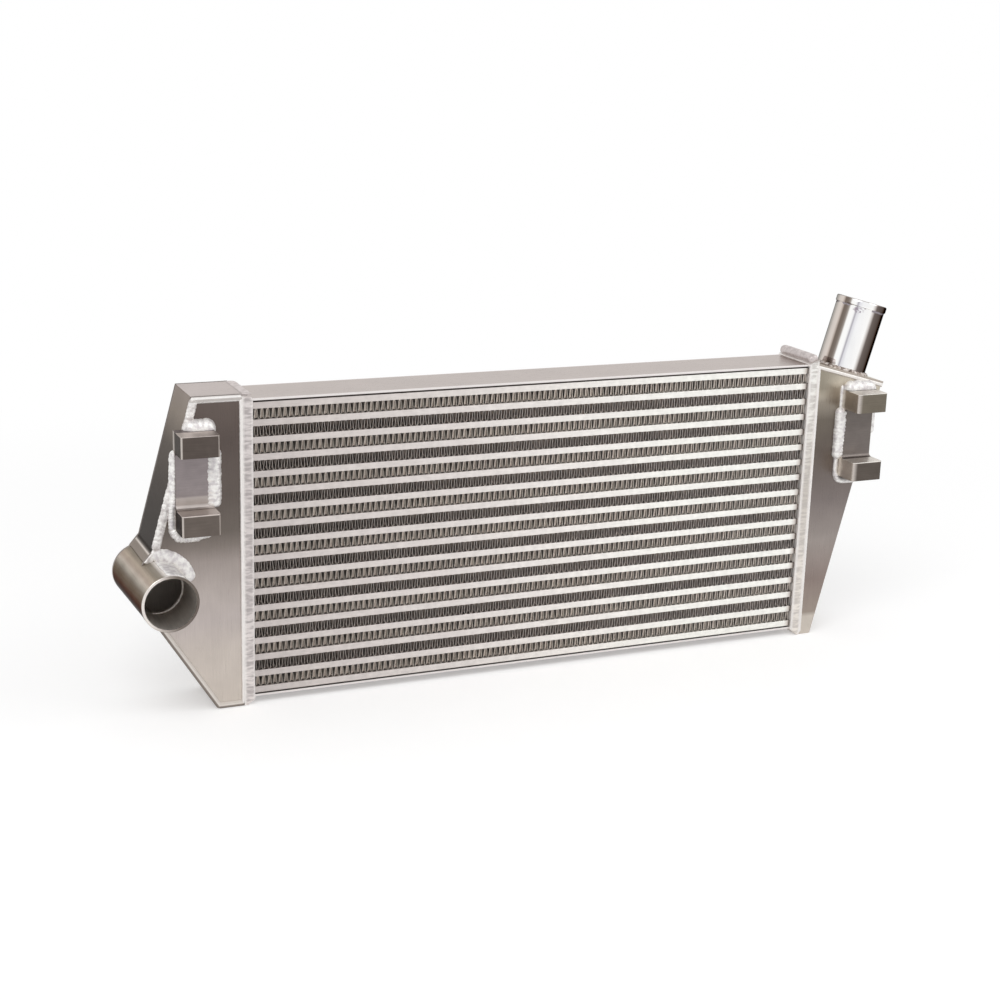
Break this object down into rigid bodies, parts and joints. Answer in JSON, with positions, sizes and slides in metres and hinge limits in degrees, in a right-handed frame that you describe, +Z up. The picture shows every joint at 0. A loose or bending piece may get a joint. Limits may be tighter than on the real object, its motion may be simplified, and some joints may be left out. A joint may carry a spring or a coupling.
{
  "type": "intercooler",
  "caption": "Air-to-air intercooler: a brazed core with folded cooling fins between welded sheet tanks, with hose tubes and C-shaped side brackets.",
  "frame": {"origin": "middle of the footprint of the whole part, on the floor that its tanks stand on", "axes": "+X along the core from the inlet end to the outlet end, +Y from the front face backwards, +Z up"},
  "size_m": [0.8052, 0.11, 0.357],
  "materials": {
    "passage_aluminium": "bright brazed aluminium, fine lengthwise grain",
    "fin_aluminium": "thin folded aluminium foil, dull",
    "weld_metal": "rippled TIG weld and dressed weld metal",
    "tank_sheet": "brushed aluminium sheet, satin",
    "brushed_tube": "brushed aluminium tube",
    "polished_tube": "mirror-polished aluminium tube",
    "bracket_aluminium": "machined aluminium, lightly brushed"
  },
  "bodies": {
    "root": {"charge_tube_01": "passage_aluminium", "charge_tube_02": "passage_aluminium", "charge_tube_03": "passage_aluminium", "charge_tube_04": "passage_aluminium", "charge_tube_05": "passage_aluminium", "charge_tube_06": "passage_aluminium", "charge_tube_07": "passage_aluminium", "charge_tube_08": "passage_aluminium", "charge_tube_09": "passage_aluminium", "charge_tube_10": "passage_aluminium", "charge_tube_11": "passage_aluminium", "charge_tube_12": "passage_aluminium", "charge_tube_13": "passage_aluminium", "charge_tube_14": "passage_aluminium", "charge_tube_15": "passage_aluminium", "charge_tube_16": "passage_aluminium", "charge_tube_17": "passage_aluminium", "charge_tube_18": "passage_aluminium", "air_fin_01": "fin_aluminium", "air_fin_02": "fin_aluminium", "air_fin_03": "fin_aluminium", "air_fin_04": "fin_aluminium", "air_fin_05": "fin_aluminium", "air_fin_06": "fin_aluminium", "air_fin_07": "fin_aluminium", "air_fin_08": "fin_aluminium", "air_fin_09": "fin_aluminium", "air_fin_10": "fin_aluminium", "air_fin_11": "fin_aluminium", "air_fin_12": "fin_aluminium", "air_fin_13": "fin_aluminium", "air_fin_14": "fin_aluminium", "air_fin_15": "fin_aluminium", "air_fin_16": "fin_aluminium", "air_fin_17": "fin_aluminium", "core_top_plate": "passage_aluminium", "core_bottom_plate": "passage_aluminium", "left_header_plate": "weld_metal", "right_header_plate": "weld_metal", "left_tank_seam_welds": "weld_metal", "right_tank_seam_welds": "weld_metal", "left_bracket_welds": "weld_metal", "right_bracket_welds": "weld_metal", "inlet_tube_weld": "weld_metal", "outlet_tube_weld": "weld_metal", "left_tank_front_plate": "tank_sheet", "left_tank_back_plate": "tank_sheet", "left_tank_top_plate": "tank_sheet", "left_tank_outer_wall": "tank_sheet", "left_tank_lower_wall": "tank_sheet", "right_tank_shell": "tank_sheet", "right_tank_top_plate": "tank_sheet", "right_tank_floor_plate": "tank_sheet", "inlet_tube": "brushed_tube", "outlet_tube": "polished_tube", "left_bracket": "bracket_aluminium", "right_bracket": "bracket_aluminium"}
  },
  "joints": []
}
